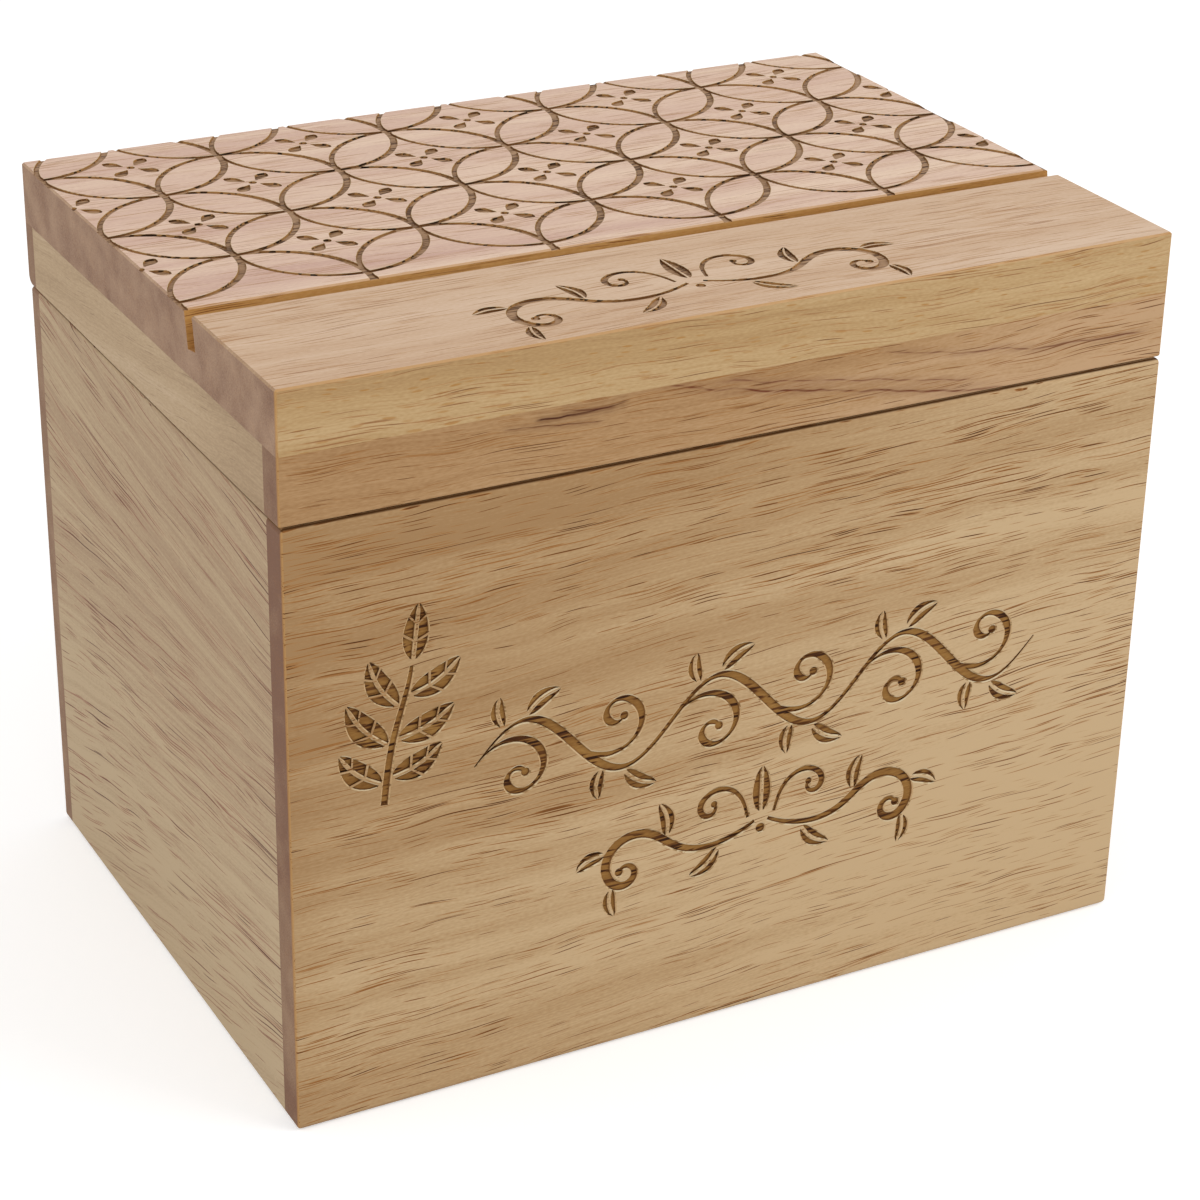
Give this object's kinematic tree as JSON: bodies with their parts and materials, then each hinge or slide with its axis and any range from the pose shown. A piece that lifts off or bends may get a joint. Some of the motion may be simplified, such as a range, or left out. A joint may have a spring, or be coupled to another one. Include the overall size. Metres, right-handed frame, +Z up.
{
  "type": "keepsake box",
  "caption": "Wooden keepsake and card box with a back-hinged lid whose thick top has a full-width slot for standing a card or photograph in.",
  "frame": {"origin": "middle of the lid's outline, on the underside of the case", "axes": "+X to the right along the width, +Y to the hinged back, +Z up"},
  "size_m": [0.18, 0.1289, 0.146],
  "materials": {
    "rubberwood_case": "sanded and oiled rubberwood, laser-engraved front",
    "rubberwood_lid": "sanded and oiled rubberwood, laser-engraved top",
    "rubberwood_bottom": "sanded rubberwood panel",
    "brass": "satin stamped brass",
    "brass_screws": "turned brass"
  },
  "bodies": {
    "case": {"case_front_board": "rubberwood_case", "case_rear_board": "rubberwood_case", "case_left_board": "rubberwood_case", "case_right_board": "rubberwood_case", "case_bottom_panel": "rubberwood_bottom", "hinge_left_case_leaf": "brass", "hinge_left_pin": "brass", "hinge_left_case_screws": "brass_screws", "hinge_right_case_leaf": "brass", "hinge_right_pin": "brass", "hinge_right_case_screws": "brass_screws"},
    "lid": {"lid_top_panel": "rubberwood_lid", "lid_front_rail": "rubberwood_lid", "lid_rear_rail": "rubberwood_lid", "lid_left_rail": "rubberwood_lid", "lid_right_rail": "rubberwood_lid", "hinge_left_lid_leaf": "brass", "hinge_left_lid_screws": "brass_screws", "hinge_right_lid_leaf": "brass", "hinge_right_lid_screws": "brass_screws"}
  },
  "joints": [
    {"name": "lid_hinge", "type": "hinge", "parent": "case", "child": "lid", "pos_m": [0, 0.06302, 0.121], "axis": [-1, 0, 0], "range_deg": [0, 105]}
  ]
}
